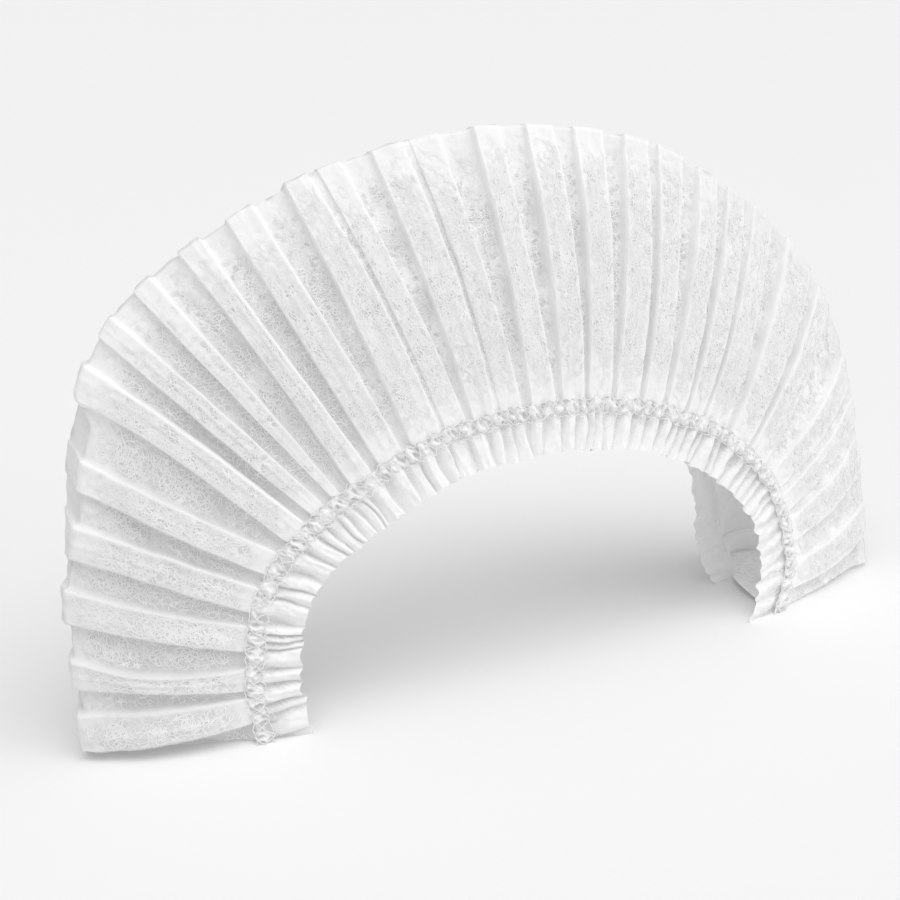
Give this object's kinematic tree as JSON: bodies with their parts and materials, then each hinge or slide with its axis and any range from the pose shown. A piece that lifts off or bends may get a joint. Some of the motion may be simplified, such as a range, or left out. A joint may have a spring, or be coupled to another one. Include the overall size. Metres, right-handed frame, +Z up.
{
  "type": "disposable hair cap",
  "caption": "Pleated white non-woven hair cap, folded along its crown and gathered by an elastic along each free edge, standing as an arch on its closed ends to cover hair.",
  "frame": {"origin": "on the floor under the middle of the cap's bounding box", "axes": "+X from the left foot to the right foot of the arch, +Y from the front wall to the back wall, +Z up"},
  "size_m": [0.2462, 0.049, 0.1379],
  "materials": {
    "non_woven": "matte white bonded fibre web",
    "elastic_yarn": "soft white covered elastic"
  },
  "bodies": {
    "root": {"pleated_cloth": "non_woven", "front_elastic": "elastic_yarn", "back_elastic": "elastic_yarn"}
  },
  "joints": []
}
